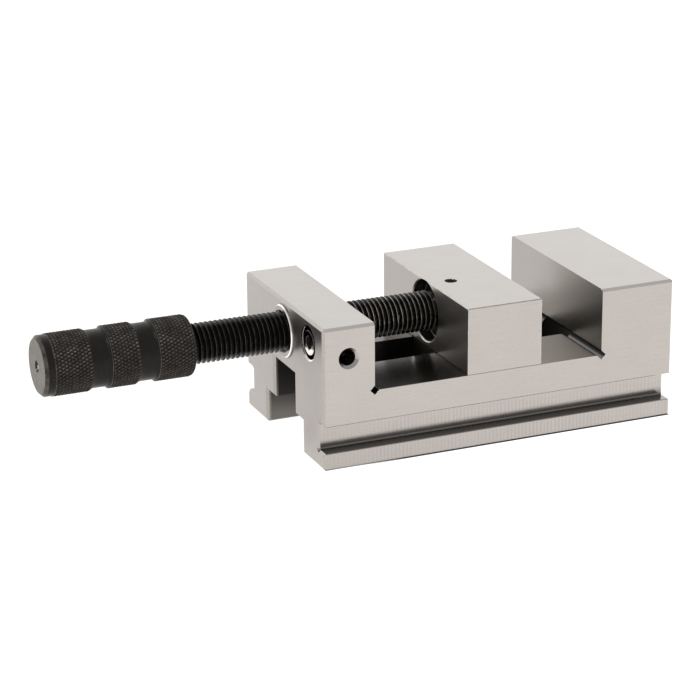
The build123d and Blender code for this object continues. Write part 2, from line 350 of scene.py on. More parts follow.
# %% [markdown]
# ## Grinding lines
# A grinding wheel leaves fine parallel lines. On the tops and long sides they run along the
# vise, because the table moved that way. The jaw faces and end faces were ground with the
# rim of a cup wheel, so there the lines are wide arcs. Each line is noise that is stretched
# one way, and that way follows from where the surface faces, so one group serves every block.

# %% Group: lines left by grinding
SQUARE_ON = 0.8
ARC_CENTRE_Y = 20 * MM
ARC_CENTRE_Z = -110 * MM
ARC_STRETCH = 8.0
LINE_NOISE = (1.0, 3.0, 0.6)
PATCH_NOISE = (38.0, 4.0, 0.55)
grinding, wanted, result = new_group(
    "grinding_lines", ["Line width", "Line length"], ["Lines", "Patches", "End face"]
)
place, facing = spot_of(grinding)
across = 1.0 / wanted["Line width"]
along = 1.0 / wanted["Line length"]
straight = joined(place.x * along, place.y * across, place.z * across).cloud(*LINE_NOISE)
from_centre = round_axis(grinding, ARC_CENTRE_Y, ARC_CENTRE_Z)
arc_angle = from_centre.y.sum("ARCTAN2", from_centre.z)
arcs = joined(from_centre.vector("LENGTH") * across, arc_angle * ARC_STRETCH).cloud(*LINE_NOISE)
faces_end = abs(facing.x) > SQUARE_ON
feed(result["Lines"], blend("FLOAT", faces_end, straight, arcs).span(0.3, 0.7))
feed(result["Patches"], place.cloud(*PATCH_NOISE).span(0.35, 0.65))
feed(result["End face"], faces_end)
print("grinding group nodes:", len(grinding.nodes))

# %% [markdown]
# ## Worn edges with a painted highlight
# Where two ground faces meet, hands and cloths polish the corner. Bare steel is also painted
# lighter there, a painted highlight; on blackened steel it is wear.
# The Bevel node gives the surface direction as if the corner were rounded. Where that differs
# from the true direction, the spot is near a corner. Soft noise breaks the line up.

# %% Group: edges polished by handling, and painted highlights
CORNER_DIRECTIONS = (0.995, 0.93)
edges, wanted, result = new_group("worn_and_highlit_edges", ["Width", "Breaks"], ["Wear"], ["Rounded"])
true_direction = Value(add_node(edges, "ShaderNodeNewGeometry").outputs["Normal"])
bevel = add_node(edges, "ShaderNodeBevel", samples=4)
feed(bevel.inputs["Radius"], wanted["Width"])
rounded = Value(bevel.outputs["Normal"])
corner = true_direction.vector("DOT_PRODUCT", rounded).span(*CORNER_DIRECTIONS)
broken = spot_of(edges)[0].cloud(wanted["Breaks"]).span(0.3, 0.6)
feed(result["Wear"], corner * broken)
feed(result["Rounded"], rounded)
print("edge group nodes:", len(edges.nodes))

# %% [markdown]
# ## Painted shade in corners
# The Ambient Occlusion node tells how much of the air above a spot is blocked by steel close
# by, and there the finish is painted darker: a painted shade in corners and recesses.

# %% Group: painted shade where the air is blocked
FULL_SHADE_SHARE = 0.6
corner_shade, wanted, result = new_group("painted_corner_shade", ["Reach", "Clean above"], ["Dirt"])
occlusion = add_node(corner_shade, "ShaderNodeAmbientOcclusion", samples=8)
feed(occlusion.inputs["Distance"], wanted["Reach"])
open_air = Value(occlusion.outputs["AO"])
unshaded_above = wanted["Clean above"]
feed(result["Dirt"], open_air.span(unshaded_above, unshaded_above * FULL_SHADE_SHARE))
print("dirt group nodes:", len(corner_shade.nodes))

# %% [markdown]
# ## Milling marks on the lower sides
# The clamping grooves and the rails below them are cut with the side of a milling cutter. Each
# tooth leaves a faint upright stripe, a millimetre or two from the next. Only sides below a
# given height have them.

# %% Group: upright stripes of a milling cutter
STRIPE_WANDER = 0.7
STRIPE_LEAN = 60.0
FAINTEST = 0.3
milling, wanted, result = new_group("milling_stripes", ["Stripe", "Below"], ["Stripes"])
place, facing = spot_of(milling)
stripes = place.x / wanted["Stripe"]
wander = joined(stripes, 0.0, place.z * STRIPE_LEAN).cloud(0.7, 2.0, 0.6) * STRIPE_WANDER
wave = ((stripes + wander) * (2 * math.pi)).sum("SINE").span(-1.0, 1.0)
strength = place.cloud(45.0, 1.0).span(0.35, 0.6, FAINTEST, 1.0)
limit = wanted["Below"]
low_down = (place.z < limit) * place.z.span(limit * 0.5, limit, 1.0, FAINTEST)
on_side = abs(facing.y) > SQUARE_ON
feed(result["Stripes"], wave * strength * low_down * on_side)
print("milling group nodes:", len(milling.nodes))

# %% [markdown]
# ## Handling marks
# Oil from fingers and a wiping cloth leaves faint cloudy marks on polished steel. They change
# how sharp the reflection is. The group also gives fine specks, the grain of the steel's skin.

# %% Group: faint marks of fingers and oil
marks, wanted, result = new_group("handling_marks", ["Size", "Speck size"], ["Smears", "Specks"])
place = spot_of(marks)[0]
feed(result["Smears"], place.cloud(1.0 / wanted["Size"], 5.0, 0.6).span(0.42, 0.68))
feed(result["Specks"], place.cloud(1.0 / wanted["Speck size"], 2.0, 0.5).span(0.55, 0.75))
print("marks group nodes:", len(marks.nodes))

# %% [markdown]
# ## Bare steel finishes
# All the bare steel shares one recipe: a metal whose reflection is softened by the grinding
# lines, lighter at worn edges with a painted highlight, duller under smears, and painted dark
# in corners as shade. Grinding lines smear a reflection across the lines and hardly along
# them, so what the jaws mirror is drawn out upwards and downwards. The Tangent input sets that
# direction. Each part gets its own values, because a ground body, a turned bush and a hardened
# pin don't look alike.

# %% Recipe for bare steel
PATCH_SHADE = 0.95
LINE_SHARE, LINE_SHADE = 0.8, 0.86
SPECK_SHADE = 0.78
STRIPE_SHARE, STRIPE_SHADE = 0.6, 0.78
PAINTED_CORNER_SHADE = 0.06
LINE_DULLNESS = 0.04
SMEAR_DULLNESS = 0.03


def across_the_lines(tree):
    """A vector along the surface and across its grinding lines, straight ones or arcs."""
    facing = spot_of(tree)[1]
    across_straight = facing.vector("CROSS_PRODUCT", (1, 0, 0))
    across_arcs = round_axis(tree, ARC_CENTRE_Y, ARC_CENTRE_Z)
    return blend("VECTOR", abs(facing.x) > SQUARE_ON, across_straight, across_arcs)


def shade_of(colour, factor):
    """The same colour, so many times as light, but never lighter than white."""
    return tuple(min(1.0, channel * factor) for channel in colour[:3]) + (1,)


def add_relief(surface, height, depth, strength=1.0):
    """Fine relief that only bends the reflection. Gives the inputs of its node."""
    relief = add_node(height.tree, "ShaderNodeBump")
    relief.inputs["Strength"].default_value = strength
    relief.inputs["Distance"].default_value = depth
    feed(relief.inputs["Height"], height)
    feed(surface["Normal"], Value(relief.outputs["Normal"]))
    return relief.inputs


def bare_steel(
    name, colour, dullness, lines, smear=0.0, edge_gain=1.15, edge_width=0.0002, shade_below=0.62
):
    """A metal with grinding lines. dullness is for the flat sides and for the ends in turn."""
    material, tree, surface = new_finish(name)
    line_width, line_length, line_depth = lines
    lay = use_group(tree, grinding, Line_width=line_width, Line_length=line_length)
    handling = use_group(tree, marks, Size=0.016, Speck_size=0.0005)
    edge_wear_and_highlight = use_group(tree, edges, Width=edge_width, Breaks=350.0)
    # Where steel close by blocks the air, the colour is painted almost black: a painted shade.
    corner_shading = use_group(tree, corner_shade, Reach=0.003, Clean_above=shade_below)
    milled = use_group(tree, milling, Stripe=0.0016, Below=0.0185)
    skin = blend("RGBA", lay["Patches"], shade_of(colour, PATCH_SHADE), colour)
    # Worn edges are painted lighter by edge_gain: wear and a painted highlight.
    for share, factor in (
        (lay["Lines"] * LINE_SHARE, LINE_SHADE),
        (handling["Specks"], SPECK_SHADE),
        (milled["Stripes"] * STRIPE_SHARE, STRIPE_SHADE),
        (edge_wear_and_highlight["Wear"], edge_gain),
        (corner_shading["Dirt"], PAINTED_CORNER_SHADE),
    ):
        skin = blend("RGBA", share, skin, shade_of(colour, factor))
    feed(surface["Base Color"], skin)
    surface["Metallic"].default_value = 1.0
    softness = lay["End face"].span(0.0, 1.0, *dullness) + lay["Lines"] * LINE_DULLNESS
    feed(surface["Roughness"], softness + handling["Smears"] * SMEAR_DULLNESS)
    if smear:
        surface["Anisotropic"].default_value = smear
        feed(surface["Tangent"], across_the_lines(tree))
    feed(add_relief(surface, lay["Lines"], line_depth)["Normal"], edge_wear_and_highlight["Rounded"])
    return material


GROUND = (0.412, 0.39, 0.367, 1)
KEEPER = (0.52, 0.505, 0.48, 1)
HARDENED = (0.6, 0.6, 0.59, 1)
SPRING = (0.4, 0.4, 0.395, 1)
BRIGHT_SCREW = (0.9, 0.88, 0.85, 1)
BUSH = (0.33, 0.315, 0.3, 1)
FINE_LINES = (0.00016, 0.014, 2e-6)
COARSE_LINES = (0.0003, 0.02, 4e-6)
HARD_LINES = (0.00008, 0.004, 1e-6)
SPRING_LINES = (0.0002, 0.004, 3e-6)
BRIGHT_LINES = (0.0001, 0.003, 5e-7)
BUSH_LINES = (0.0001, 0.004, 1e-6)
ground_steel = bare_steel("ground_steel", GROUND, (0.13, 0.29), FINE_LINES, smear=0.6)
# The movable jaw's edges get a wider and brighter painted highlight.
jaw_steel = bare_steel(
    "ground_jaw_steel", GROUND, (0.13, 0.27), FINE_LINES, 0.6, edge_gain=1.6, edge_width=0.0004
)
keeper_steel = bare_steel("keeper_steel", KEEPER, (0.2, 0.26), COARSE_LINES, smear=0.5)
hardened_steel = bare_steel("hardened_steel", HARDENED, (0.12, 0.12), HARD_LINES)
spring_steel = bare_steel("spring_steel", SPRING, (0.3, 0.3), SPRING_LINES)
bright_steel = bare_steel(
    "bright_screw_steel", BRIGHT_SCREW, (0.08, 0.08), BRIGHT_LINES, edge_gain=1.1, shade_below=0.8
)
bush_steel = bare_steel("bush_steel", BUSH, (0.14, 0.14), BUSH_LINES)
print("bare steel finishes: 7, centre of the arcs at a height in mm:", ARC_CENTRE_Z / MM)

# %% [markdown]
# ## Changing a finish in one place
# These helpers lay another colour over a finish where a mask holds, make it duller there, or
# paint it black as shade. Painted shade must lose the metal's shine too. A dark metal would
# still mirror the table at a flat angle.

# %% Helpers: recolour, roughen and paint black shade
SHADE_BLACK = (0.004, 0.0036, 0.0032, 1)
SHADE_DULLNESS = 0.6


def so_far(socket):
    """What feeds a socket until now."""
    return Value(socket.links[0].from_socket)


def recolour(material, mask, colour):
    """Mixes another colour over the finished base colour where the mask holds."""
    base = surface_of(material)["Base Color"]
    feed(base, blend("RGBA", mask, so_far(base), colour))


def reshade(mask, factor, material=ground_steel):
    """Makes ground steel so many times as light where the mask holds."""
    recolour(material, mask, shade_of(GROUND, factor))


def roughen(material, mask, amount):
    """Adds to the roughness where the mask holds."""
    rough = surface_of(material)["Roughness"]
    feed(rough, so_far(rough) + mask * amount)


def paint_black_shade(material, mask):
    """Painted black shade where the mask holds. It is dull and doesn't mirror as metal does."""
    recolour(material, mask, SHADE_BLACK)
    roughen(material, mask, SHADE_DULLNESS)
    feed(surface_of(material)["Metallic"], 1.0 - mask)


print("place helpers ready")

# %% [markdown]
# ## Bush, recess and foot of the movable jaw
# The bush's outer chamfer was turned last and polished, and its ring is painted near white
# round the screw, a painted highlight. The screw runs on into a round recess in the back of
# the movable jaw. Its inside is painted black as shade, and only its mouth is bright. Where
# the jaw stands on the bed, a thin dark line is painted as the shadow at its foot.

# %% Rim and recess, by distance from the axis, and foot, by height
RIM = (10.1 * MM, 10.5 * MM)
RECESS_RADIUS = 12.2 * MM
RECESS_DARKENS = (0.1 * MM, 0.6 * MM)
JAW_FOOT = 30.02 * MM
FOOT_LINE = (0.15 * MM, 0.3 * MM)
bush_low, bush_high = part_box("nut_bush")
screw_height = (bush_low.z + bush_high.z) / 2
painted_highlight_rim = from_axis(bush_steel.node_tree, 0.0, screw_height).between(*RIM)
# The polished ring is painted near white: a painted highlight.
recolour(bush_steel, painted_highlight_rim, (0.97, 0.95, 0.92, 1))

jaw = jaw_steel.node_tree
place = spot_of(jaw)[0]
jaw_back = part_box("movable_jaw")[0].x
# Inside the recess the steel is painted black, as shade.
inside = from_axis(jaw, 0.0, screw_height) < RECESS_RADIUS
deep = place.x.span(jaw_back + RECESS_DARKENS[0], jaw_back + RECESS_DARKENS[1])
paint_black_shade(jaw_steel, inside * deep)
# A thin dark line at the jaw's foot: a painted contact shadow.
foot_line = place.z.span(JAW_FOOT + FOOT_LINE[0], JAW_FOOT + FOOT_LINE[1], 0.7, 0.0)
reshade(foot_line, factor=0.2, material=jaw_steel)
print("radius in mm, polished rim:", RIM[0] / MM, "dirty recess:", RECESS_RADIUS / MM)

# %% [markdown]
# ## Slot of the body
# The slot for the jaw's tongue was only milled, and its walls are painted darker than the
# ground faces, a painted shade. The table lights them a little from below, and higher up they
# are painted almost black. Just behind the nut block the slot is open above, and there its
# walls are painted lighter, a painted glow of the light that falls in. The edge of its mouth
# is painted less dark, as a lit edge.

# %% Slot, by place
BED_HEIGHT = 30 * MM
NUT_BLOCK_LENGTH = 21.3 * MM
SLOT_HALF = 19.5 * MM
SLOT_DARKENS = (3 * MM, 14 * MM)
PAINTED_LIGHT_LENGTH = 28 * MM
SLOT_MOUTH = 1.8 * MM
JUST_OFF = 0.1 * MM
body = ground_steel.node_tree
place, facing = spot_of(body)
outward = abs(place.y)
not_end = abs(facing.x) < 0.5
bed_start = body_low.x + NUT_BLOCK_LENGTH
slot_walls = (outward < SLOT_HALF) * (place.z < BED_HEIGHT - JUST_OFF) * not_end
# The slot walls are painted darker as shade, darkest high up.
reshade(slot_walls, factor=0.42)
reshade(slot_walls * place.z.span(*SLOT_DARKENS), factor=0.14)
# Behind the nut block and at the mouth the walls are painted lighter, as painted light.
painted_light_behind_nut = place.x.span(bed_start, bed_start + PAINTED_LIGHT_LENGTH, 1.0, 0.0) * (place.x > bed_start)
reshade(slot_walls * painted_light_behind_nut, factor=1.8)
reshade(slot_walls * (place.x < body_low.x + SLOT_MOUTH), factor=0.6)
roughen(ground_steel, slot_walls, amount=0.2)
print("slot darkened up to mm from the middle:", SLOT_HALF / MM)

# %% [markdown]
# ## Clamping grooves and bed
# Each side groove is painted darker towards the lip below it, a painted shade in the corner
# at its foot. The lip's own top is painted less dark.
# On the bed behind the nut block a painted shade stands for the screw's dark reflection. The
# bed is darker there, and it clears towards the fixed jaw.

# %% Grooves and bed, by place and direction
LIP_TOP = 6.9 * MM
GROOVE_WALL = 34 * MM
GROOVE_DARKENS = (0.8 * MM, 3.6 * MM)
WALL_MARGIN = 0.2 * MM
SIDE_MARGIN = 0.4 * MM
FACING_UP = 0.9
BED_SHADE_FADES = 30 * MM
BED_SHADE_ENDS = 48 * MM
in_groove = outward.between(GROOVE_WALL - WALL_MARGIN, body_high.y - SIDE_MARGIN) * not_end
low_down = place.z.span(LIP_TOP + GROOVE_DARKENS[0], LIP_TOP + GROOVE_DARKENS[1], 1.0, 0.0)
groove_foot = low_down * (place.z > LIP_TOP - JUST_OFF) * in_groove
faces_up = facing.z > FACING_UP
# The groove's foot and the lip's top are painted darker: painted shade.
reshade(groove_foot, factor=0.36)
reshade(groove_foot * faces_up, factor=0.7)
bed_top = place.z.span(BED_HEIGHT - 0.05 * MM, BED_HEIGHT) * (place.z < BED_HEIGHT + 1 * MM)
# Painted shade on the bed behind the nut block, for the screw's dark reflection.
painted_dark = place.x.span(bed_start + BED_SHADE_FADES, bed_start + BED_SHADE_ENDS, 1.0, 0.0)
painted_dark = painted_dark * faces_up * bed_top
reshade(painted_dark, factor=0.22)
roughen(ground_steel, painted_dark, amount=0.04)
print("bed oiled over a length in mm:", BED_SHADE_ENDS / MM)

# %% [markdown]
# ## Relief grooves and top chamfers
# The relief grooves at the feet of the jaws end in a sharp inner corner, and there a black
# line is painted as shade. Their slanted walls are painted darker, also as shade. The chamfers
# along the tops are painted lighter than the faces, a painted highlight.
# The product of two parts of a direction is largest where a surface slants between the two.

# %% Relief grooves and top chamfers, by place and direction
FIXED_JAW_LENGTH = 31.4 * MM
RELIEF = 1.9 * MM
RELIEF_SHADE = (0.8 * MM, 1.6 * MM)
RELIEF_REACH = 3 * MM
HIGH_EDGES = 50 * MM
distances = []
for corner_x in (bed_start - RELIEF, body_high.x - FIXED_JAW_LENGTH + RELIEF):
    from_corner = place.vector("MULTIPLY_ADD", (1, 0, 1), (-corner_x, 0, -BED_HEIGHT))
    distances.append(from_corner.vector("LENGTH"))
away = distances[0].sum("MINIMUM", distances[1])
# Slanted walls painted darker and the inner corner painted black: painted shade.
slanted_wall = abs(facing.x * facing.z) * (away < RELIEF_REACH)
reshade(slanted_wall.sum("MULTIPLY", 2.0, clamp=True), factor=0.25)
paint_black_shade(ground_steel, away.span(*RELIEF_SHADE, 1.0, 0.0) * (abs(facing.y) < 0.5))
# The top chamfers are painted lighter: a painted highlight.
chamfer = abs(facing.y * facing.z) * (place.z > HIGH_EDGES)
reshade(chamfer.sum("MULTIPLY", 2.0, clamp=True), factor=1.45)
print("relief grooves dirty within mm of their corner:", RELIEF_SHADE[1] / MM)

# %% [markdown]
# ## Painted highlight round the clamp screw
# The mouth of the clamp screw's counterbore is painted near white, a painted highlight, and
# the finish takes the flat face's direction there, so it gives back light as that face does,
# only more of it. The screw's own head is painted dark above and black in its socket: painted
# shade.

# %% Painted highlight on the mouth and painted shade on the screw head
MOUTH = (6.4 * MM, 7.15 * MM)
MOUTH_DEPTH = 0.6 * MM
SHADED_FROM = (2 * MM, 1 * MM)
SOCKET_RADIUS = 2.95 * MM
SOCKET_EDGE = 0.15 * MM
clamp_low, clamp_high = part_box("stop_clamp_screw")
clamp_middle = (clamp_low + clamp_high) / 2
painted_highlight_mouth = from_axis(body, clamp_middle.y, clamp_middle.z).between(*MOUTH)
painted_highlight_mouth = painted_highlight_mouth * (place.x < body_low.x + MOUTH_DEPTH)
# The mouth is painted near white: a painted highlight.
recolour(ground_steel, painted_highlight_mouth, (0.95, 0.93, 0.9, 1))
direction = surface_of(ground_steel)["Normal"]
feed(direction, blend("VECTOR", painted_highlight_mouth, so_far(direction), (-1, 0, 0)))

screw = bright_steel.node_tree
place, facing = spot_of(screw)
# The head's upper part is painted dark and its socket black: painted shade.
shaded_top = place.z.span(clamp_middle.z - SHADED_FROM[0], clamp_middle.z - SHADED_FROM[1])
recolour(bright_steel, shaded_top, (0.07, 0.065, 0.06, 1))
in_socket = from_axis(screw, clamp_middle.y, clamp_middle.z) < SOCKET_RADIUS
paint_black_shade(bright_steel, in_socket * (place.x > clamp_low.x + SOCKET_EDGE))
print("burnished mouth in mm from the screw's axis:", MOUTH[0] / MM, "to", MOUTH[1] / MM)

# %% [markdown]
# ## Blackened finishes
# The spindle, the handle and the screws are blackened: a hot bath turns the skin of the steel
# into a very thin black layer, which is then oiled. It is dark but still glossy. It wears off
# first where hands and nuts rub, on the peaks. The meshes below carry a number called
# wear_and_highlight on every point, 1 on a worn peak and 0 in a groove, and the finish thins
# out where it is high. On the knurl, the centre hole, the handle's chamfer and the edges of the
# knurled bands the same number also paints highlights: painted dashes, a glint and light lines.

# %% Recipe for blackened steel
LEAST_RUBBED = 0.25
EDGE_RUBBED = 0.35
BLACK_SPECK_SHADE = 1.8
BLACK_SMEAR_DULLNESS = 0.1


def blackened_steel(name, colour, peak_colour, dullness, rub_and_sheen_range, gloss, rubbed_places=None):
    """Oiled black finish. rub_and_sheen_range: where wear and painted highlights start and are
    full.
    """
    material, tree, surface = new_finish(name)
    handling = use_group(tree, marks, Size=0.004, Speck_size=0.0007)
    edge_wear_and_highlight = use_group(tree, edges, Width=0.0002, Breaks=600.0)
    wear_and_highlight = Value(add_node(tree, "ShaderNodeAttribute", attribute_name="wear_and_highlight").outputs["Fac"])
    rub_and_sheen = wear_and_highlight.span(*rub_and_sheen_range) * (handling["Smears"] * (1 - LEAST_RUBBED) + LEAST_RUBBED)
    rub_and_sheen = rub_and_sheen.sum("MAXIMUM", edge_wear_and_highlight["Wear"] * EDGE_RUBBED, clamp=True)
    if rubbed_places:
        rub_and_sheen = rub_and_sheen * spot_of(tree)[0].x.span(*rubbed_places)
    skin = blend("RGBA", handling["Specks"], colour, shade_of(colour, BLACK_SPECK_SHADE))
    feed(surface["Base Color"], blend("RGBA", rub_and_sheen, skin, peak_colour))
    feed(surface["Metallic"], rub_and_sheen)
    feed(surface["Roughness"], handling["Smears"] * BLACK_SMEAR_DULLNESS + dullness)
    surface["Specular IOR Level"].default_value = gloss
    add_relief(surface, handling["Specks"], depth=8e-6, strength=0.6)
    return material


OIL_BLACK = (0.003, 0.0027, 0.0024, 1)
SATIN_BLACK = (0.012, 0.0108, 0.0098, 1)
HOLE_BLACK = (0.02, 0.018, 0.016, 1)
SCREW_BLACK = (0.01, 0.0095, 0.009, 1)
WORN_GREY = (0.112, 0.1, 0.088, 1)
SCREW_PEAKS = (0.7, 0.645, 0.59, 1)
KNURL_WEAR_AND_SHEEN = (0.2, 0.178, 0.158, 1)
FACE_PEAKS = (0.8, 0.77, 0.73, 1)
HOLE_GLINT_AND_WEAR = (1.0, 0.98, 0.95, 1)
FASTENER_PEAKS = (0.2, 0.19, 0.18, 1)
RUN_IN_BUSH = (body_low.x, body_low.x + 10 * MM, 0.12, 1.0)
black_thread = blackened_steel(
    "black_oxide_spindle", OIL_BLACK, SCREW_PEAKS, 0.16, (0.94, 1.0), 0.1, RUN_IN_BUSH
)
black_knurl = blackened_steel(
    "black_oxide_handle", SATIN_BLACK, KNURL_WEAR_AND_SHEEN, 0.3, (0.15, 0.9), gloss=0.1
)
handle_face = blackened_steel(
    "black_oxide_handle_face", WORN_GREY, FACE_PEAKS, 0.42, (0.7, 1.0), gloss=0.4
)
centre_hole = blackened_steel(
    "black_oxide_centre_hole", HOLE_BLACK, HOLE_GLINT_AND_WEAR, 0.2, (0.4, 0.8), gloss=0.3
)
black_screws = blackened_steel(
    "black_oxide_fasteners", SCREW_BLACK, FASTENER_PEAKS, 0.2, (0.8, 1.0), gloss=0.5
)
print("blackened finishes: 5")

# %% [markdown]
# ## Finish of the parts that keep their drawn shape
# These parts are right as drawn. Each only gets its finish in the place of the plain one that
# came with it.

# %% Finishes on the drawn parts
drawn_finishes = {
    "vise_body": ground_steel,
    "movable_jaw": jaw_steel,
    "nut_bush": bush_steel,
    "keeper_plate": keeper_steel,
    "keeper_washers": spring_steel,
    "thrust_pad": hardened_steel,
    "retaining_pin": hardened_steel,
    "bush_lock_screw": black_screws,
    "pin_grub_screw": black_screws,
}
for name, finish in drawn_finishes.items():
    for material_slot in nodes[name].material_slots:
        material_slot.material = finish
print("drawn parts dressed:", len(drawn_finishes))

# %% [markdown]
# ## Turning on a lathe, in mesh code
# The screw, the handle and the cap screws are turned parts: chains of rings round one axis.
# One small class can make them all. It starts at a tip on the axis, adds ring after ring, and
# closes at another tip. A ring may have a different radius in each direction, which gives
# sockets, serrations and knurls.

# %% Class: a turned part


class Turning:
    """A closed surface of rings round the X axis. Sizes are in millimetres from its start."""

    def __init__(self, columns, start=0.0):
        self.start = start
        self.columns = columns
        self.angles = 2 * np.pi * np.arange(columns) / columns
        self.points = []
        self.wear_and_highlights = []
        self.faces = []
        self.last = None

    def add_points(self, x, radius, angles, wear_and_highlight):
        """Adds points and gives their numbers."""
        values = (self.start + x, radius, wear_and_highlight)
        x, radius, wear_and_highlight = (np.broadcast_to(value, angles.shape) for value in values)
        first = len(self.points)
        self.points += list(zip(x, radius * np.cos(angles), radius * np.sin(angles)))
        self.wear_and_highlights += list(wear_and_highlight)
        return list(range(first, first + len(angles)))

    def tip(self, x):
        """A point on the axis, which starts or ends the part."""
        point = self.add_points(x, 0.0, np.zeros(1), 0.0)
        if self.last:
            around = zip(self.last, self.last[1:] + self.last[:1])
            self.faces += [(a, b, point[0]) for a, b in around]
        self.last = point

    def ring(self, x, radius, wear_and_highlight=0.0, lean=None):
        """A ring of points. lean says how each face is split: 1, -1, or 0 for not at all."""
        self.join(self.add_points(x, radius, self.angles, wear_and_highlight), lean)

    def rings(self, *steps):
        """Several plain rings, each given as its place and radius."""
        for x, radius in steps:
            self.ring(x, radius)

    def join(self, ring, lean=None):
        """Adds the faces between the last ring and this one."""
        before = self.last
        lean = np.zeros(self.columns, int) if lean is None else lean
        for a in range(self.columns):
            b = (a + 1) % self.columns
            if len(before) == 1:
                self.faces.append((before[0], ring[b], ring[a]))
            elif lean[a] > 0:
                self.faces += [(before[a], before[b], ring[b]), (before[a], ring[b], ring[a])]
            elif lean[a] < 0:
                self.faces += [(before[a], before[b], ring[a]), (before[b], ring[b], ring[a])]
            else:
                self.faces.append((before[a], before[b], ring[b], ring[a]))
        self.last = ring

    def make(self, name, to_world, finish):
        """Turns the points into an object, placed by a matrix."""
        mesh = bpy.data.meshes.new(name)
        points = [to_world @ Vector(point) for point in np.array(self.points) * MM]
        mesh.from_pydata(points, [], self.faces)
        wear_and_highlight = mesh.attributes.new("wear_and_highlight", "FLOAT", "POINT")
        wear_and_highlight.data.foreach_set("value", np.array(self.wear_and_highlights, np.float32))
        mesh.materials.append(finish)
        return new_object(name, mesh)


print("lathe ready")

# %% [markdown]
# ## Cutting a thread
# A thread isn't a stack of rings: it is one ridge that climbs as it goes round. The rows of
# points must follow that climb, or the ridge would look jagged. After one turn each row joins
# the row one pitch further on. The first and last turn are cut down to the core.

# %% Thread for a turned part
RIDGE = [(0.0, 0.0), (0.06, 0.0), (0.11, 0.06), (0.42, 0.9)]
RIDGE += [(0.455, 1.0), (0.545, 1.0), (0.58, 0.9), (0.89, 0.06)]
RUN_IN_TURNS = 0.6


def cut_thread(part, start, end, outer, core, pitch, end_chamfer):
    """Adds a right-handed thread to a part whose last ring has the core's radius."""
    rows = len(RIDGE)
    columns = part.columns
    turns = int((end - start) / pitch + 1e-6)
    first_x = end - turns * pitch
    part.ring(start, core)
    row_count = rows * (turns - 1) + 1
    climb = pitch * np.arange(columns) / columns
    grid = []
    for row in range(row_count + rows):
        share, height = RIDGE[row % rows]
        angles = part.angles if row < row_count else part.angles[:1]
        x = first_x + pitch * (row // rows + share) + (climb if row < row_count else climb[:1])
        run_in = np.clip((x - start - pitch) / (RUN_IN_TURNS * pitch), 0, 1)
        run_out = np.clip((end - pitch - x) / end_chamfer, 0, 1)
        tall = np.minimum(height * run_in, run_out)
        grid.append(part.add_points(x, core + (outer - core) * tall, angles, tall))
    flat_start = part.add_points(first_x, core, part.angles[1:], 0.0)
    part.join([grid[0][0]] + flat_start)

    def close(near, far):
        """Faces between two rows, all the way but for the last column."""
        for column in range(1, columns - 1):
            part.faces.append((near[column], near[column + 1], far[column + 1], far[column]))

    first = grid[0]
    close([first[0]] + flat_start, first)
    part.faces.append((first[0], flat_start[0], first[1]))
    seam = [grid[row][0] for row in range(rows + 1)]
    part.faces.append([flat_start[-1]] + seam + [first[-1]])
    for row in range(row_count - 1):
        low, high = grid[row], grid[row + 1]
        part.faces.append((low[0], low[1], high[1], high[0]))
        close(low, high)
        part.faces.append((low[-1], grid[row + rows][0], grid[row + rows + 1][0], high[-1]))

    top = grid[row_count - 1]
    flat_end = part.add_points(end, core, part.angles[1:], 0.0)
    end_ring = [grid[row_count - 1 + rows][0]] + flat_end
    seam = [grid[row_count - 1 + row][0] for row in range(rows, 0, -1)]
    part.faces.append([top[0], top[1], end_ring[1]] + seam)
    close(top, end_ring)
    part.faces.append((top[-1], end_ring[0], end_ring[-1]))
    part.last = end_ring


print("thread helper ready, points along one pitch:", len(RIDGE))

# %% [markdown]
# ## Checking a mesh
# A part that is to be printed or weighed has to be a closed skin. This helper counts the open
# edges, prints the volume that the skin holds, and marks the sharp corners, so that round
# surfaces shade smoothly and corners stay crisp.

# %% Helper: check and shade


def finish_mesh(piece, sharp_angle=32.0):
    """Marks corners sharper than the angle, and prints whether the mesh is closed."""
    mesh = piece.data
    mesh.polygons.foreach_set("use_smooth", [True] * len(mesh.polygons))
    mesh.set_sharp_from_angle(angle=math.radians(sharp_angle))
    check = bmesh.new()
    check.from_mesh(mesh)
    open_edges = sum(not edge.is_manifold for edge in check.edges)
    volume = round(check.calc_volume(signed=True) / MM**3)
    check.free()
    print(piece.name, "faces", len(mesh.polygons), "open edges", open_edges, "volume mm3", volume)
    return piece


print("mesh check ready")

# %% [markdown]
# ## The spindle
# The spindle is the screw that moves the jaw. It is one turned part: a plain shank inside the
# handle, a coarse metric thread, and a nose with a narrow neck inside the jaw.

# %% Spindle: shank, thread, neck and nose
spindle_low, spindle_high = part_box("spindle")
handle_low, handle_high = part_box("handle")
axis_height = (spindle_low.z + spindle_high.z) / 2
handle_face_x = handle_low.x / MM
handle_inner_x = handle_high.x / MM
spindle_start_x = spindle_low.x / MM
nose_end_x = spindle_high.x / MM
NOSE_LENGTH = 16.0
THREAD_RADIUS = 8.0
THREAD_PITCH = 2.0
THREAD_CHAMFER = 1.2
CORE_RADIUS = THREAD_RADIUS - 0.6134 * THREAD_PITCH
SHANK_RADIUS = 6.0
SHANK_CHAMFER = 1.2
NOSE_RADIUS = 6.5
NOSE_CHAMFER = 0.75
NECK_RADIUS = 3.5
NECK_PLACE = 4.0
NECK_HALF = 1.6
HIDDEN_RUN_IN = 3.3
thread_start_x = handle_inner_x - HIDDEN_RUN_IN
thread_end_x = nose_end_x - NOSE_LENGTH
neck_x = thread_end_x + NECK_PLACE

